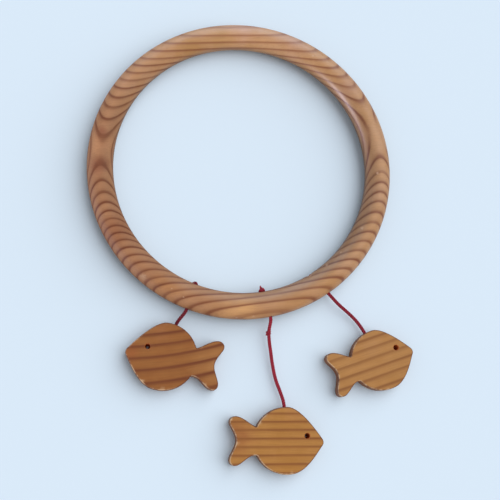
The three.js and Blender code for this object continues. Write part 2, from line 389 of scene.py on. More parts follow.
# Chips and rubbed spots: angle round the ring and across its section in degrees, size and depth in mm
RING_CHIPS = [
    (-39.8, 47, 2.6, 0.10), (-1.7, 22, 1.0, 0.16), (4.5, 31, 1.0, 0.16), (49.2, 136, 1.0, 0.14),
    (40.6, 140, 1.3, 0.18), (63.1, 114, 1.2, 0.10), (-28.3, 78, 0.7, 0.08), (-22.9, 68, 0.7, 0.08),
    (148.5, 92, 0.9, 0.06), (88.4, 101, 1.2, 0.06), (31.7, 156, 1.9, 0.30),
]
HAND_TURNED_UNEVENNESS = 0.07 * MM
UNEVENNESS_SCALE = 45

# The drill's chamfer at the ring's faces, its cone below a knot's seat, and how far it starts outside
BORE_RIM = 0.35 * MM
BORE_CONE = 0.6 * MM
BORE_OVERSHOOT = 4 * MM


def chip_places():
    for angle, section, size, depth in RING_CHIPS:
        place, outward = ring_surface(angle, section)
        yield place, outward, size * MM, depth * MM


def cut(target, cutters):
    """Cuts closed meshes out of a target and applies the result."""
    for cutter in cutters:
        modifier = target.modifiers.new("cut", "BOOLEAN")
        modifier.object = cutter
        modifier.solver = "EXACT"
    graph = bpy.context.evaluated_depsgraph_get()
    result = bpy.data.meshes.new_from_object(target.evaluated_get(graph))
    old = target.data
    target.modifiers.clear()
    target.data = result
    bpy.data.meshes.remove(old)
    for cutter in cutters:
        bpy.data.objects.remove(cutter)


def turned_rod(name, point, direction, profile):
    """A closed turned solid along a direction: the profile is (distance along, radius) pairs."""
    turn = direction.to_track_quat("Z", "Y")
    points = []
    for distance, radius in profile:
        for j in range(DRILL_SIDES):
            angle = 2 * math.pi * j / DRILL_SIDES
            local = Vector((math.cos(angle) * radius, math.sin(angle) * radius, distance))
            points.append(point + turn @ local)
    faces = tube_faces(len(profile), DRILL_SIDES)
    return new_object(name, mesh_from(name, points, faces, smooth=False))


def make_ring(material):
    """The turned ring, a little uneven and chipped, with its three bores and knot seats cut out."""
    angles = np.arange(RING_SEGMENTS) * 2 * math.pi / RING_SEGMENTS
    sections = np.arange(RING_SECTION_SIDES) * 2 * math.pi / RING_SECTION_SIDES
    around, across = np.meshgrid(angles, sections, indexing="ij")
    radius = RING_MIDDLE_RADIUS + np.cos(across) * RING_SECTION_WIDTH / 2
    places = np.stack([
        np.sin(around) * radius, -np.cos(around) * radius, np.sin(across) * RING_HEIGHT / 2,
    ], -1) + np.array(RING_CENTRE)
    outward = np.stack([
        np.sin(around) * np.cos(across) * RING_HEIGHT,
        -np.cos(around) * np.cos(across) * RING_HEIGHT,
        np.sin(across) * RING_SECTION_WIDTH,
    ], -1)
    outward /= np.linalg.norm(outward, axis=-1, keepdims=True)
    places = places.reshape(-1, 3)
    outward = outward.reshape(-1, 3)
    dent = np.array([
        HAND_TURNED_UNEVENNESS * (0.5 + 0.5 * smooth_noise(Vector(p) * UNEVENNESS_SCALE)) for p in places
    ])
    for place, _, size, depth in chip_places():
        away = np.linalg.norm(places - np.array(place), axis=1) / size
        dent += depth * np.clip(1.25 - away, 0, 1) ** 2
    places = places - outward * dent[:, None]
    n, m = RING_SEGMENTS, RING_SECTION_SIDES
    faces = [
        (i * m + j, ((i + 1) % n) * m + j, ((i + 1) % n) * m + (j + 1) % m, i * m + (j + 1) % m)
        for i in range(n) for j in range(m)
    ]
    ring = new_object("turned_ring", mesh_from("turned_ring", places, faces))
    cutters = []
    for side, pendant in PENDANTS.items():
        point, out, to_face = bore_axis(pendant)
        seat_end = -to_face + KNOT_SEAT_DEPTH
        cutters.append(turned_rod(f"drill_{side}", point, out, [
            (-to_face - BORE_OVERSHOOT, KNOT_SEAT_RADIUS + BORE_OVERSHOOT + BORE_RIM),
            (-to_face + BORE_RIM, KNOT_SEAT_RADIUS),
            (seat_end, KNOT_SEAT_RADIUS),
            (seat_end + BORE_CONE, BORE_RADIUS),
            (to_face - BORE_RIM, BORE_RADIUS),
            (to_face + BORE_OVERSHOOT, BORE_RADIUS + BORE_OVERSHOOT + BORE_RIM),
        ]))
    cut(ring, cutters)
    ring.data.materials.clear()
    ring.data.materials.append(material)
    ring.data.set_sharp_from_angle(angle=math.radians(40))
    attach(ring, "root")
    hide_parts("ring")
    return ring


# The fish

def bezier(p0, p1, p2, p3, count=24):
    """Points along a cubic curve, without its first one."""
    for i in range(1, count + 1):
        t = i / count
        s = 1 - t
        yield (
            s ** 3 * p0[0] + 3 * s * s * t * p1[0] + 3 * s * t * t * p2[0] + t ** 3 * p3[0],
            s ** 3 * p0[1] + 3 * s * s * t * p1[1] + 3 * s * t * t * p2[1] + t ** 3 * p3[1],
        )


def arc(radius, start, end, count=60):
    """Points along an arc about the body's middle, from one angle in degrees to another."""
    for i in range(count + 1):
        angle = math.radians(start + (end - start) * i / count)
        yield (radius * math.cos(angle), radius * math.sin(angle))


def fish_outline(length):
    """The fish's outline, nose towards +X, in even steps, from curves in hundredths of its length."""
    body = 100 * FISH_BODY_RADIUS_SHARE
    line = [(37.2, 3.4)]

    def curve(*points):
        line.extend(bezier(line[-1], *points))

    curve((32.3, 10.2), (14.3, 34.3), next(arc(body, 88, 156)))
    line.extend(list(arc(body, 88, 156))[1:])
    curve((-32.8, 13.1), (-33.8, 14.1), (-35.2, 14.9))
    curve((-40.5, 17.8), (-47.7, 24.4), (-54.6, 24.2))
    curve((-59.6, 24.1), (-62.3, 19.0), (-59.6, 14.4))
    curve((-57.6, 10.5), (-53.4, 5.0), (-53.3, -0.8))
    curve((-53.1, -6.7), (-58.6, -13.5), (-59.8, -19.0))
    curve((-60.8, -23.8), (-58.0, -27.1), (-53.6, -26.6))
    curve((-47.7, -25.9), (-41.9, -17.9), (-36.2, -16.2))
    curve((-34.3, -15.6), (-32.6, -15.4), next(arc(body, 207.2, 283)))
    line.extend(list(arc(body, 207.2, 283))[1:])
    curve((21.3, -30.8), (31.3, -14.2), (37.2, -5.5))
    curve((39.667, -2.633), (39.667, 0.333), (37.2, 3.4))
    rough = np.array(line[:-1]) * length / 100
    closed = np.vstack([rough, rough[:1]])
    steps = np.linalg.norm(np.diff(closed, axis=0), axis=1)
    travelled = np.concatenate([[0], np.cumsum(steps)])
    count = round(travelled[-1] / OUTLINE_STEP)
    places = np.arange(count) * travelled[-1] / count
    return np.stack([np.interp(places, travelled, closed[:, k]) for k in range(2)], 1)


def outline_normals(outline):
    """Outward normals of an outline that runs counter-clockwise."""
    ahead = np.roll(outline, -2, 0) - np.roll(outline, 2, 0)
    normals = np.stack([ahead[:, 1], -ahead[:, 0]], 1)
    return normals / np.linalg.norm(normals, axis=1, keepdims=True)


def cap_triangles(outer, inner, centre):
    """Triangles between an outer loop and a round hole, with evenly spread points between them."""
    low, high = outer.min(0), outer.max(0)
    grid = []
    row = 0
    y = low[1]
    while y < high[1]:
        x = low[0] + (CAP_STEP / 2 if row % 2 else 0)
        while x < high[0]:
            grid.append((x, y))
            x += CAP_STEP
        y += CAP_STEP * 0.866
        row += 1
    grid = np.array(grid)
    clear_outer = np.linalg.norm(grid[:, None] - outer[None], axis=2).min(1) > 0.7 * CAP_STEP
    hole = np.linalg.norm(inner - centre, axis=1).max()
    clear_hole = np.linalg.norm(grid - centre, axis=1) > hole + 0.6 * CAP_STEP
    grid = grid[clear_outer & clear_hole]
    edges = [(i, (i + 1) % len(outer)) for i in range(len(outer))]
    first = len(outer)
    edges += [(first + i, first + (i + 1) % len(inner)) for i in range(len(inner))]
    points = [Vector(p) for p in np.vstack([outer, inner, grid])]
    found = delaunay_2d_cdt(points, edges, [], 1, 1e-7)
    places = np.array([tuple(p) for p in found[0]])
    sources = found[3]
    # A triangle with all its corners on the hole's edge fills the hole
    from_centre = np.linalg.norm(places - centre, axis=1)
    triangles = [face for face in found[2] if from_centre[list(face)].max() > 1.001 * hole]
    return places, sources, triangles


def edge_profile(rounding, thickness, steps=5):
    """(inset, height) pairs up a board's rounded edge, from its underside to its top."""
    lower = []
    for i in range(steps + 1):
        angle = math.pi / 2 * i / steps
        lower.append((rounding * (1 - math.sin(angle)), rounding * (1 - math.cos(angle))))
    walls = [(0, thickness * share) for share in (0.25, 0.5, 0.75)]
    upper = [(inset, thickness - height) for inset, height in reversed(lower)]
    return lower + walls + upper


# The way that the rims with the painted highlight face, from +X towards +Y
HIGHLIGHT_SIDE = math.radians(205)
FISH_SEEDS = {"left": 3.0, "middle": 11.0, "right": 23.0}

# How far the sawn edge stays inside the solid's, the depth of its marks and chips, how far from a rim
# the chips reach, and the depth of the dips in the faces
SAW_ALLOWANCE = 0.05 * MM
SAW_MARKS = 0.05 * MM
CHIP_DEPTH = 0.5 * MM
CHIP_BAND = 1.3 * MM
FACE_DIPS = 0.05 * MM

# The eye's rounded rim, and its narrow end on the underside, as the drill's tip leaves it
EYE_ROUNDING = 0.25 * MM
EYE_TIP_RADIUS = EYE_DIAMETER / 4
EYE_TIP_HEIGHT = 0.3 * MM
EYE_CONE_HEIGHT = 2.6 * MM

# The drill's chamfer at a socket's mouth, and how far it starts outside
SOCKET_RIM = 0.3 * MM
SOCKET_OVERSHOOT = 3 * MM


class Board:
    """A sawn board's points and faces. Its wear runs 0 to 1, for worn chips and for a painted highlight on
    the rims that face one way; wall is 0 on a face, 1 on the sawn edge and 2 inside the eye."""

    def __init__(self):
        self.points, self.faces, self.wear, self.wall = [], [], [], []

    def add(self, point, wear=0, wall=0):
        self.points.append(point)
        self.wear.append(wear)
        self.wall.append(wall)
        return len(self.points) - 1

    def join(self, loops, hollow=False):
        """Adds the faces between loops of points, each above the last."""
        for below, above in zip(loops, loops[1:]):
            for i in range(len(below)):
                k = (i + 1) % len(below)
                if hollow:
                    self.faces.append((below[i], above[i], above[k], below[k]))
                else:
                    self.faces.append((below[i], below[k], above[k], above[i]))


def saw_edge(board, outline, highlight_way, seed):
    """Adds the sawn edge with its marks and chips, and a painted highlight on its rims that face one way,
    and returns its loops of points.
    """
    normals = outline_normals(outline)
    loops = []
    for inset, height in edge_profile(FISH_EDGE_ROUNDING, FISH_THICKNESS):
        loop = []
        near_edge = 1 - min(1, min(height, FISH_THICKNESS - height) / CHIP_BAND)
        rim = max(0, 1 - abs(inset / FISH_EDGE_ROUNDING - 0.45) / 0.5) if near_edge else 0
        for (x, y), (nx, ny) in zip(outline - normals * (inset + SAW_ALLOWANCE), normals):
            rough = smooth_noise(Vector((x * 330, y * 330, height * 330 + seed)))
            fine = smooth_noise(Vector((x * 900, y * 900, seed + 5)))
            sawn = SAW_MARKS * smooth_noise(Vector((x * 1200, y * 1200, seed)))
            chip = max(0, rough - 0.28) * near_edge
            push = CHIP_DEPTH * chip + max(0, sawn) * (0.4 + 0.6 * (1 - near_edge))
            # Painted highlight: the rims that face one way are paler, and chips facing that way are paler
            # too
            towards = max(0, nx * highlight_way[0] + ny * highlight_way[1] + 0.1)
            painted_highlight_rim = 1.5 * rim * min(1, 1.6 * towards) * max(0, min(1, 0.6 + 1.3 * rough + 0.8 * fine))
            wear = min(1, chip * (0.25 + 1.7 * towards) + painted_highlight_rim)
            wall = 1 - min(1, inset / FISH_EDGE_ROUNDING)
            loop.append(board.add((x - nx * push, y - ny * push, height), wear, wall))
        loops.append(loop)
    board.join(loops)
    return loops


def drill_eye(board, centre):
    """Adds the eye's wall, and returns its loops of points."""
    radius = EYE_DIAMETER / 2
    profile = [
        (radius - EYE_TIP_RADIUS, 0), (radius - EYE_TIP_RADIUS, EYE_TIP_HEIGHT), (0, EYE_CONE_HEIGHT),
        (0, FISH_THICKNESS / 2), (0, 0.8 * FISH_THICKNESS),
    ]
    profile += [
        (-inset, height) for inset, height in edge_profile(EYE_ROUNDING, FISH_THICKNESS, 3)
        if height > FISH_THICKNESS - EYE_ROUNDING * 1.01
    ]
    loops = []
    for inset, height in profile:
        on_face = height == 0 or height > FISH_THICKNESS - 0.02 * MM
        reach = radius - inset
        loop = []
        for j in range(EYE_SIDES):
            angle = 2 * math.pi * j / EYE_SIDES
            point = (centre[0] + math.cos(angle) * reach, centre[1] + math.sin(angle) * reach, height)
            loop.append(board.add(point, wall=0 if on_face else 2))
        loops.append(loop)
    board.join(loops, hollow=True)
    return loops


def close_board(board, edge, eye, eye_centre, seed):
    """Adds the underside and the upper face, slightly dished, between the edge and the eye."""
    for level in (0, -1):
        outer = np.array([board.points[i] for i in edge[level]])[:, :2]
        inner = np.array([board.points[i] for i in eye[level]])[:, :2]
        height = board.points[edge[level][0]][2]
        places, sources, triangles = cap_triangles(outer, inner, eye_centre)
        loops = edge[level] + eye[level]
        index = []
        for place, source in zip(places, sources):
            known = [s for s in source if s < len(loops)]
            if known:
                index.append(loops[known[0]])
                continue
            dip = FACE_DIPS * (0.5 + 0.5 * smooth_noise(Vector((place[0] * 60, place[1] * 60, seed))))
            index.append(board.add((place[0], place[1], height + (dip if level == 0 else -dip))))
        for face in triangles:
            mapped = [index[i] for i in face]
            board.faces.append(tuple(reversed(mapped)) if level == 0 else tuple(mapped))


def make_fish(side, pendant, material):
    """A fish sawn from a flat board, with its drilled eye and the socket that its cord ends in."""
    data = pendant["fish"]
    length, facing = data["length"], data["facing"]
    outline = fish_outline(length)
    outline[:, 0] *= facing
    if facing < 0:
        outline = outline[::-1].copy()
    seed = FISH_SEEDS[side]
    turn = math.radians(data["turn"])
    highlight_way = (math.cos(HIGHLIGHT_SIDE - turn), math.sin(HIGHLIGHT_SIDE - turn))
    eye_centre = np.array((data["eye"][0] * facing, data["eye"][1])) * length / 100
    board = Board()
    edge = saw_edge(board, outline, highlight_way, seed)
    eye = drill_eye(board, eye_centre)
    close_board(board, edge, eye, eye_centre, seed)
    name = f"wooden_fish_{side}"
    mesh = mesh_from(name, board.points, board.faces)
    add_attribute(mesh, "wear", board.wear)
    add_attribute(mesh, "wall", board.wall)
    lying = Matrix.Translation(fish_middle(pendant)) @ Matrix.Rotation(turn, 4, "Z")
    mesh.transform(lying)
    fish = new_object(name, mesh)
    angle = math.radians(data["socket_angle"]) * facing
    out = lying.to_3x3() @ Vector((math.sin(angle), math.cos(angle), 0))
    middle = lying @ Vector((0, 0, FISH_THICKNESS / 2))
    body = FISH_BODY_RADIUS_SHARE * length
    cut(fish, [turned_rod("socket_drill", middle, out, [
        (body - SOCKET_DEPTH, BORE_RADIUS),
        (body - SOCKET_RIM, BORE_RADIUS),
        (body + SOCKET_OVERSHOOT, BORE_RADIUS + SOCKET_OVERSHOOT + SOCKET_RIM),
    ])])
    fish.data.materials.clear()
    fish.data.materials.append(material)
    fish.data.set_sharp_from_angle(angle=math.radians(38))
    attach(fish, "root")
    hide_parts(f"fish_{side}")
    return fish


# Materials

class Nodes:
    """Adds shader nodes to a material, by type, with inputs given by name or number."""

    def __init__(self, name):
        self.material = bpy.data.materials.new(name)
        self.material.use_nodes = True
        self.tree = self.material.node_tree
        self.tree.nodes.clear()

    def add(self, kind, inputs=None, **settings):
        node = self.tree.nodes.new("ShaderNode" + kind)
        for key, value in settings.items():
            setattr(node, key, value)
        for key, value in (inputs or {}).items():
            if isinstance(value, bpy.types.NodeSocket):
                self.tree.links.new(value, node.inputs[key])
            else:
                node.inputs[key].default_value = value
        return node

    def math(self, operation, *values, clamp=False):
        return self.add("Math", dict(enumerate(values)), operation=operation, use_clamp=clamp).outputs[0]

    def plus(self, a, b):
        return self.math("ADD", a, b)

    def minus(self, a, b):
        return self.math("SUBTRACT", a, b)

    def times(self, a, b):
        return self.math("MULTIPLY", a, b)

    def over(self, a, b):
        return self.math("DIVIDE", a, b)

    def vector(self, operation, *values):
        node = self.add("VectorMath", dict(enumerate(values)), operation=operation)
        return node.outputs[1 if operation in ("DOT_PRODUCT", "LENGTH", "DISTANCE") else 0]

    def noise(self, vector, scale, detail=2.0, roughness=0.5):
        inputs = {"Vector": vector, "Scale": scale, "Detail": detail, "Roughness": roughness}
        return self.add("TexNoise", inputs).outputs["Fac"]

    def swing(self, vector, scale, detail):
        """Noise about zero."""
        return self.minus(self.noise(vector, scale, detail), 0.5)

    def ramp(self, factor, stops):
        node = self.add("ValToRGB", {0: factor})
        while len(node.color_ramp.elements) < len(stops):
            node.color_ramp.elements.new(0.5)
        for element, (place, value) in zip(node.color_ramp.elements, stops):
            element.position = place
            element.color = (value, value, value, 1)
        return node.outputs["Color"]

    def mix(self, factor, first, second, blend="MIX"):
        node = self.add("Mix", data_type="RGBA", blend_type=blend)
        for index, value in ((0, factor), (6, first), (7, second)):
            if isinstance(value, bpy.types.NodeSocket):
                self.tree.links.new(value, node.inputs[index])
            elif index == 0:
                node.inputs[index].default_value = value
            else:
                node.inputs[index].default_value = (*value, 1)
        return node.outputs[2]

    def finish(self, inputs):
        """Ends the material with a surface that has the given inputs."""
        surface = self.add("BsdfPrincipled", inputs)
        self.add("OutputMaterial", {"Surface": surface.outputs[0]}).is_active_output = True
        return self.material


def linear(red, green, blue):
    """A colour given in 0 to 255 display values, as the shader wants it."""
    return tuple((v / 255 / 12.92) if v <= 10.31 else ((v / 255 + 0.055) / 1.055) ** 2.4
                 for v in (red, green, blue))


def grain_lines(n, distance, spacing):
    """Counts growth rings outwards from a first one, with a second spacing from a change on."""
    first, near, change, far = (v * MM for v in spacing)
    inner = n.over(n.minus(n.math("MINIMUM", distance, change), first), near)
    outer = n.over(n.minus(n.math("MAXIMUM", distance, change), change), far)
    return n.plus(inner, outer)


EYE_WALL_TONE = (190, 104, 48)

# How dark the wood is through a year's growth, by share of the year: palest in spring, darkest at its end
YEAR_LINE = [
    (0.0, 0.92), (0.06, 0.5), (0.13, 0.14), (0.34, 0.03),
    (0.58, 0.14), (0.74, 0.38), (0.84, 0.8), (0.91, 1.0),
]


def wood_grain(n, place, pith, along, bow):
    """The wood stretched along its grain, its fibres likewise, and the distance from the pith line."""
    along = Vector(along).normalized()
    side = along.cross(Vector((0, 0, 1))).normalized()
    up = side.cross(along)
    from_pith = n.vector("SUBTRACT", place, tuple(v * MM for v in pith))
    a = n.vector("DOT_PRODUCT", from_pith, tuple(along))
    b = n.vector("DOT_PRODUCT", from_pith, tuple(side))
    if bow:
        b = n.minus(b, n.times(n.times(a, a), bow))
    c = n.vector("DOT_PRODUCT", from_pith, tuple(up))
    stretched = n.add("CombineXYZ", {0: n.times(a, 0.12), 1: b, 2: c}).outputs[0]
    fibres = n.add("CombineXYZ", {0: n.times(a, 0.025), 1: b, 2: c}).outputs[0]
    across = n.add("CombineXYZ", {0: 0.0, 1: b, 2: c}).outputs[0]
    distance = n.vector("LENGTH", across)
    for scale, detail, reach in ((45.0, 1.0, 1.3 * MM), (260.0, 2.0, 0.35 * MM)):
        distance = n.plus(distance, n.times(n.swing(stretched, scale, detail), reach))
    return stretched, fibres, distance


def growth_lines(n, stretched, distance, spacing):
    """How dark the growth line is at a place: each year's is stronger or weaker, and uneven along it."""
    ring = grain_lines(n, distance, spacing)
    year = n.math("FLOOR", ring)
    strength = n.add("TexWhiteNoise", {"W": year}, noise_dimensions="1D").outputs["Value"]
    line = n.ramp(n.math("FRACT", ring), YEAR_LINE)
    line = n.times(line, n.plus(n.times(strength, 0.35), 0.7))
    along_line = n.noise(stretched, 120.0, 2.0)
    return n.math("MULTIPLY", line, n.plus(n.times(along_line, 0.8), 0.6), clamp=True)


def make_pine(
    name, pith, along, spacing, tones, finish, bow=0.0, chips=(), brown=None, tints=(), shade=None,
):
    """Varnished pine: growth rings about a pith line, latewood lines, fibres, patches, worn spots, and
    painted shade and highlights.

    tones are light, warm, line, worn and wall: the worn tone also colours the fish's painted highlight,
    and the wall tone is partly painted shade. finish is roughness and gloss. bow bends the lines, in
    shares a metre. chips are places and sizes. brown is a middle, a reach and a way against which the
    wood turns browner and duller, with its tone and the tone of its lines. tints are soft patches, each
    a place, a reach, a tone and an amount; some of the ring's are a painted sheen. shade gives the
    painted shade, as a lightness, and the strength of the lines.
    """
    light, warm, dark, worn_and_highlit, wall_and_shade_tone = (linear(*tone) for tone in tones)
    roughness, gloss = finish
    n = Nodes(name)
    place = n.add("TexCoord").outputs["Object"]
    stretched, fibres, distance = wood_grain(n, place, pith, along, bow)
    line = growth_lines(n, stretched, distance, spacing)
    if shade:
        painted_lightness, line_strength = shade(n, place)
        line = n.math("MULTIPLY", line, line_strength, clamp=True)

    # The wood's own tone, with its patches
    patch = n.ramp(n.noise(place, 55.0, 3.0, 0.6), [(0.36, 0.0), (0.64, 1.0)])
    base = n.mix(patch, light, warm)
    if brown:
        middle, reach, way, tone, dark_tone = brown
        from_middle = n.vector("SUBTRACT", place, tuple(middle))
        along_way = n.vector("DOT_PRODUCT", from_middle, tuple(Vector(way).normalized()))
        grade = n.over(along_way, reach)
        grade = n.plus(grade, n.times(n.swing(place, 30.0, 2.0), 0.6))
        grade = n.ramp(n.plus(n.times(grade, 0.5), 0.5), [
            (0.05, 1.0), (0.25, 0.45), (0.45, 0.15), (0.65, 0.0),
        ])
        base = n.mix(grade, base, linear(*tone))
        dark = n.mix(grade, dark, linear(*dark_tone))
    for spot, reach, tone, amount in tints:
        blur = n.times(n.swing(place, 120.0, 2.0), 0.9)
        away = n.plus(n.over(n.vector("DISTANCE", place, tuple(spot)), reach), blur)
        base = n.mix(n.ramp(away, [(0.25, amount), (1.0, 0.0)]), base, linear(*tone))

    # Growth lines, fibres and painted shade over it
    colour = n.mix(line, base, dark)
    fibre = n.noise(fibres, 1500.0, 3.0, 0.65)
    fibre_tone = n.ramp(fibre, [(0.25, 0.86), (0.5, 1.0), (0.75, 1.09)])
    colour = n.mix(1.0, colour, fibre_tone, "MULTIPLY")
    # Painted shade, where it is given
    if shade:
        colour = n.mix(1.0, colour, painted_lightness, "MULTIPLY")

    # Sawn walls, darker partly as painted shade, eyes, and worn or chipped spots with the painted
    # highlight on the fish's rims
    wall = n.add("Attribute", attribute_name="wall").outputs["Fac"]
    colour = n.mix(n.ramp(wall, [(0.12, 0.0), (0.5, 0.8)]), colour, wall_and_shade_tone)
    colour = n.mix(n.math("SUBTRACT", wall, 1.0, clamp=True), colour, linear(*EYE_WALL_TONE))
    rubbed_and_highlit = n.add("Attribute", attribute_name="wear").outputs["Fac"]
    for spot, size in chips:
        ragged = n.times(n.swing(place, 900.0, 3.0), size * 1.6)
        away = n.plus(n.vector("DISTANCE", place, tuple(spot)), ragged)
        inside = n.math("DIVIDE", n.minus(size, away), size * 0.8, clamp=True)
        rubbed_and_highlit = n.math("MAXIMUM", rubbed_and_highlit, n.times(inside, 0.6))
    colour = n.mix(n.times(rubbed_and_highlit, 0.7), colour, worn_and_highlit)

    # Varnish: duller in patches, where the wood is browner, where it is rubbed and on the rims with the
    # painted highlight
    dull = n.plus(n.times(n.noise(stretched, 70.0, 2.0), 0.16), roughness)
    if brown:
        dull = n.plus(dull, n.times(grade, 0.2))
        gloss = n.minus(gloss, n.times(grade, 0.3))
    dull = n.math("ADD", dull, n.times(rubbed_and_highlit, 0.25), clamp=True)
    relief = n.plus(n.times(fibre, 0.5), n.times(line, 0.6))
    bump = n.add("Bump", {"Height": relief, "Strength": 0.22, "Distance": 0.12 * MM})
    return n.finish({
        "Base Color": colour, "Roughness": dull, "Normal": bump.outputs[0], "Specular IOR Level": gloss,
    })


# The cotton's two tones on top of a ply, and painted shade in a groove between plies.
# The outer two cords are darkened by painted shade, the left one most.
COTTON_TONES = ((132, 20, 40), (172, 36, 60))
COTTON_GROOVE_SHADE_TONE = (56, 2, 16)
COTTON_PAINTED_LIGHTNESS = {"left": 0.56, "middle": 1.05, "right": 0.84}


def make_cotton(side):
    """Dark red twisted cotton, with painted shade in the grooves between plies, and fine fibres."""
    painted_lightness = COTTON_PAINTED_LIGHTNESS[side]
    n = Nodes(f"red_cotton_{side}")
    place = n.add("TexCoord").outputs["Object"]
    ply = n.add("Attribute", attribute_name="ply").outputs["Fac"]
    lit = n.mix(n.noise(place, 400.0, 3.0), *(linear(*tone) for tone in COTTON_TONES))
    # Painted shade in the grooves between plies
    colour = n.mix(n.ramp(ply, [(0.05, 0.0), (0.6, 1.0)]), linear(*COTTON_GROOVE_SHADE_TONE), lit)
    fibre = n.noise(place, 5200.0, 4.0, 0.7)
    # Painted shade darkens the outer two cords, the left one most
    fibre_tone = n.ramp(fibre, [(0.3, 0.72 * painted_lightness), (0.7, 1.2 * painted_lightness)])
    colour = n.mix(1.0, colour, fibre_tone, "MULTIPLY")
    bump = n.add("Bump", {"Height": fibre, "Strength": 0.6, "Distance": 0.08 * MM})
    return n.finish({
        "Base Color": colour, "Roughness": 0.85, "Normal": bump.outputs[0], "Sheen Weight": 0.12,
        "Sheen Roughness": 0.5, "Specular IOR Level": 0.2,
    })


# The ring's wood: a point of its pith in mm, its grain's way, and in mm its first growth ring, their
# spacing, where that changes and the spacing beyond. Tones are light, warm, line, worn and wall.
RING_PITH = (0, -65.4, -37.2)
RING_GRAIN = (1, 0.113, -0.070)
RING_RINGS = (46.8, 3.67, 76.2, 4.45)
RING_TONES = ((194, 147, 107), (188, 138, 88), (130, 70, 30), (206, 172, 146), (150, 100, 66))
RING_FINISH = (0.34, 0.5)
# The left side is browner and duller: middle, reach, the way to the lighter side, wood and line tones
RING_BROWN = (RING_CENTRE, RING_OUTER_RADIUS, (0.9, 0.43, 0), (168, 119, 84), (112, 58, 30))

# Soft patches of the ring's colour: angles round and across in degrees, reach in mm, tone and amount.
# The two pale pinkish-grey ones on the top's outer slope, at 179 and 158 degrees, are a painted sheen.
RING_TINTS_AND_PAINTED_SHEEN = [
    (-97, 90, 11, (200, 146, 106), 0.8), (-157, 125, 13, (170, 122, 60), 0.6),
    (-170, 112, 11, (176, 130, 66), 0.5), (179, 50, 13, (198, 154, 134), 0.6),
    (158, 55, 14, (194, 150, 130), 0.6), (-102, 85, 5, (134, 74, 52), 0.65),
    (-88, 85, 8, (140, 82, 58), 0.65), (-60, 70, 14, (146, 88, 54), 0.5),
    (-30, 60, 14, (180, 124, 72), 0.5), (0, 45, 15, (212, 160, 104), 0.7),
    (35, 55, 15, (186, 136, 80), 0.5), (128, 100, 12, (184, 138, 118), 0.4),
    (-125, 60, 10, (186, 136, 104), 0.4),
]

# Where the growth lines fade out: angles round and across in degrees and reach in mm
RING_CLEAR_PATCHES = [(105, 35, 15)]


def ring_tints_and_painted_sheen():
    for angle, section, reach, tone, amount in RING_TINTS_AND_PAINTED_SHEEN:
        yield ring_surface(angle, section)[0], reach * MM, tone, amount


def ring_painted_shade(n, place):
    """How light the ring is, and how strong its lines are.

    Painted shade darkens it to the right, near the table and round its inner side, there most at the lower
    right and least at the top. Its lines are fainter at the top and the bottom and in its clear patches.
    """
    x, y, z = n.add("SeparateXYZ", {0: n.vector("SUBTRACT", place, tuple(RING_CENTRE))}).outputs
    radius = n.math("SQRT", n.plus(n.times(x, x), n.times(y, y)))
    side = n.over(x, RING_OUTER_RADIUS)
    height = n.over(y, RING_OUTER_RADIUS)
    right = n.times(n.math("MAXIMUM", side, 0.0), 0.17)
    inner = n.math("DIVIDE", n.minus(RING_MIDDLE_RADIUS + MM, radius), 5 * MM, clamp=True)
    amount = n.minus(0.15, n.times(height, 0.12))
    amount = n.minus(amount, n.times(n.times(side, height), 0.24))
    across = n.minus(n.times(side, side), n.times(height, height))
    amount = n.plus(amount, n.times(across, 0.12))
    inner = n.times(inner, amount)
    near_table = 3.3 * MM
    low = n.math("DIVIDE", n.minus(near_table, z), near_table, clamp=True)
    low = n.times(low, 0.38)
    # Painted shade: darker to the right, round the inner side and near the table
    painted_lightness = n.minus(n.minus(n.minus(1.0, right), inner), low)
    faint = n.times(n.math("MAXIMUM", n.minus(height, 0.35), 0.0), 0.5)
    faint_below = n.times(n.math("MAXIMUM", n.minus(-0.5, height), 0.0), 0.36)
    strength = n.minus(n.minus(1.04, faint), faint_below)
    for angle, section, reach in RING_CLEAR_PATCHES:
        spot = ring_surface(angle, section)[0]
        away = n.over(n.vector("DISTANCE", place, tuple(spot)), reach * MM)
        strength = n.times(strength, n.ramp(away, [(0.5, 0.1), (1.0, 1.0)]))
    return painted_lightness, strength


# The fish's wood, in the same terms. The pith lies well below and to one side of each fish, in mm from
# its middle, so the lines run along the fish. The left fish's lines are turned, in degrees, and bowed.
# Their wall tones are partly painted shade, and their worn tones also colour the painted highlight on the
# rims
FISH_TONES = {
    "left": ((150, 96, 46), (144, 88, 40), (112, 58, 26), (222, 190, 155), (108, 58, 34)),
    "middle": ((178, 126, 66), (170, 118, 56), (134, 82, 38), (226, 196, 160), (104, 58, 36)),
    "right": ((176, 128, 76), (170, 120, 66), (138, 90, 48), (226, 196, 160), (102, 56, 36)),
}
FISH_FINISH = (0.5, 0.2)
FISH_PITH_OFFSET = {"left": (-60, -44), "middle": (-75, -40), "right": (-75, -40)}
FISH_RINGS = {"left": (30, 5.6, 200, 5.6), "middle": (31, 4.3, 200, 4.3), "right": (30, 5.2, 200, 5.2)}
FISH_GRAIN_TURN = {"left": 14, "middle": 0, "right": 0}
FISH_GRAIN_BOW = {"left": -2.1, "middle": 0.0, "right": 0.0}
# Soft patches of the fish: x and y from the body's middle and reach in mm, tone and amount
FISH_TINTS = {
    "left": [
        (30, -3, 16, (168, 116, 66), 0.7), (-22, 2, 9, (158, 88, 46), 0.5),
        (-2, 16, 9, (160, 104, 62), 0.5),
    ],
    "middle": [
        (-31, 3, 14, (152, 92, 50), 0.7), (6, 17, 8, (180, 126, 78), 0.4),
        (0, -16, 10, (172, 118, 52), 0.5),
    ],
    "right": [(-6, 8, 9, (184, 138, 94), 0.4), (8, -10, 9, (168, 118, 60), 0.4)],
}


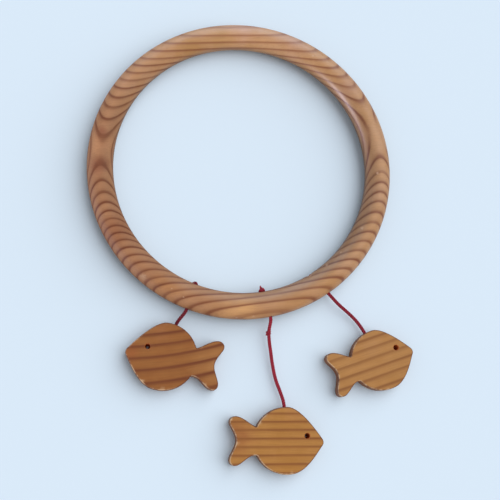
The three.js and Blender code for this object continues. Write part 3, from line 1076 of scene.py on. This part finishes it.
def fish_pine(side, pendant):
    turn = math.radians(pendant["fish"]["turn"] + FISH_GRAIN_TURN[side])
    along = Vector((math.cos(turn), math.sin(turn), 0.03))
    across = Vector((-math.sin(turn), math.cos(turn), 0))
    beside, below = FISH_PITH_OFFSET[side]
    pith = fish_middle(pendant) / MM + across * beside + Vector((0, 0, below))
    face = FISH_THICKNESS / MM
    tints = [
        (fish_middle(pendant) + Vector((x, y, face)) * MM, reach * MM, tone, amount)
        for x, y, reach, tone, amount in FISH_TINTS[side]
    ]
    return make_pine(
        f"pine_{side}", tuple(pith), tuple(along), FISH_RINGS[side], FISH_TONES[side], FISH_FINISH,
        bow=FISH_GRAIN_BOW[side], tints=tints,
    )


# Floor and light

FLOOR_HALF = 6.0
FLOOR_TONE = (218, 234, 249)
FULL_SUN = 3.09
SKY_STRENGTH = 0.375
# Wide lights: the share of the full light that a flat table gets from each, its turn and height in the
# sky and its width in degrees, and its tone
TABLE_LIGHT = {"share": 0.64, "turn": 20, "height": 42, "width": 88, "tone": (1, 1, 1)}
WINDOW = {"share": 0.22, "turn": 24, "height": 44, "width": 56, "tone": (1, 0.99, 0.95)}
OVERHEAD = {"share": 0.345, "turn": 0, "height": 85, "width": 170, "tone": (1, 1, 1)}
FRONT = {"share": 0.09, "turn": -112, "height": 35, "width": 70, "tone": (1, 0.82, 0.6)}
GLOSS = {"share": 0.36, "turn": 88, "height": 27, "width": 60, "tone": (0.6, 0.82, 1)}
# Two low lamps to the left, seen as gloss alone: turn and height in degrees, size and distance in metres
SHEEN_AIM = (0.0, -0.1, 0.0)
SHEEN_DISTANCE = 1.1
SHEENS = [
    {"turn": 182, "height": 4, "size": (0.3, 0.2), "strength": 3, "tone": (0.6, 0.55, 1.0)},
    {"turn": 206, "height": 14, "size": (0.42, 0.34), "strength": 13, "tone": (0.9, 0.84, 1.0)},
]


def make_floor():
    corners = [(-FLOOR_HALF, -FLOOR_HALF, 0), (FLOOR_HALF, -FLOOR_HALF, 0),
               (FLOOR_HALF, FLOOR_HALF, 0), (-FLOOR_HALF, FLOOR_HALF, 0)]
    floor = new_object("floor", mesh_from("floor", corners, [(0, 1, 2, 3)], smooth=False))
    n = Nodes("pale_blue_paper")
    place = n.add("TexCoord").outputs["Object"]
    grain = n.ramp(n.noise(place, 2200.0, 2.0), [(0.3, 0.995), (0.7, 1.005)])
    colour = n.mix(1.0, linear(*FLOOR_TONE), grain, "MULTIPLY")
    floor.data.materials.append(
        n.finish({"Base Color": colour, "Roughness": 0.95, "Specular IOR Level": 0.0})
    )
    return floor


def sky_way(turn, height):
    """The way to a place in the sky, by its turn from +X and its height, both in degrees."""
    turn, height = math.radians(turn), math.radians(height)
    return Vector((math.cos(turn) * math.cos(height), math.sin(turn) * math.cos(height), math.sin(height)))


def aim(lamp, way, lit):
    """Points a lamp along a way and lets it light only some objects."""
    lamp.rotation_mode = "QUATERNION"
    lamp.rotation_quaternion = Vector(way).to_track_quat("-Z", "Y")
    bpy.context.scene.collection.objects.link(lamp)
    receivers = bpy.data.collections.new(f"lit_by_{lamp.name}")
    for piece in lit:
        receivers.objects.link(piece)
    lamp.light_linking.receiver_collection = receivers


def make_wide_light(name, share, turn, height, width, tone, lit, gloss_only=False):
    """A very wide soft light in the sky."""
    light = bpy.data.lights.new(name, "SUN")
    light.energy = FULL_SUN * share / math.sin(math.radians(height))
    light.angle = math.radians(width)
    light.color = tone
    lamp = bpy.data.objects.new(name, light)
    lamp.visible_diffuse = not gloss_only
    aim(lamp, -sky_way(turn, height), lit)


def make_sheen(name, turn, height, size, strength, tone, lit):
    """A low lamp that shows as gloss alone."""
    light = bpy.data.lights.new(name, "AREA")
    light.shape = "RECTANGLE"
    light.size, light.size_y = size
    light.energy = strength
    light.color = tone
    away = sky_way(turn, height)
    lamp = bpy.data.objects.new(name, light)
    lamp.location = Vector(SHEEN_AIM) + away * SHEEN_DISTANCE
    lamp.visible_diffuse = False
    aim(lamp, -away, lit)


def make_lights(floor, pieces):
    """One light for the table and its shadows. For the mobile, a window to the right, a high soft light,
    a warm one from the front, a cool gloss from beyond its top and low sheens from its left."""
    make_wide_light("table_light", lit=[floor], **TABLE_LIGHT)
    make_wide_light("window", lit=pieces, **WINDOW)
    make_wide_light("overhead", lit=pieces, **OVERHEAD)
    make_wide_light("front", lit=pieces, **FRONT)
    make_wide_light("gloss", lit=pieces, gloss_only=True, **GLOSS)
    for number, sheen in enumerate(SHEENS):
        make_sheen(f"sheen_{number}", lit=pieces, **sheen)
    world = bpy.data.worlds.new("sky")
    world.use_nodes = True
    background = world.node_tree.nodes["Background"]
    background.inputs["Color"].default_value = (1, 1, 1, 1)
    background.inputs["Strength"].default_value = SKY_STRENGTH
    bpy.context.scene.world = world
    bpy.context.scene.view_settings.view_transform = "Standard"


make_camera()
made = []
for side, pendant in PENDANTS.items():
    cotton = make_cotton(side)
    pieces = [make_knot(side, pendant, cotton)]
    if "hitch_at" in pendant:
        pieces.append(make_hitch(pendant, cotton))
    made += [*pieces, make_cord(side, pendant, cotton)]

ring_spots = [(place, size) for place, _, size, _ in chip_places()]
ring_pine = make_pine(
    "pine_ring", RING_PITH, RING_GRAIN, RING_RINGS, RING_TONES, RING_FINISH,
    chips=ring_spots, brown=RING_BROWN, tints=list(ring_tints_and_painted_sheen()), shade=ring_painted_shade,
)
made.append(make_ring(ring_pine))
for side, pendant in PENDANTS.items():
    made.append(make_fish(side, pendant, fish_pine(side, pendant)))

make_lights(make_floor(), made)
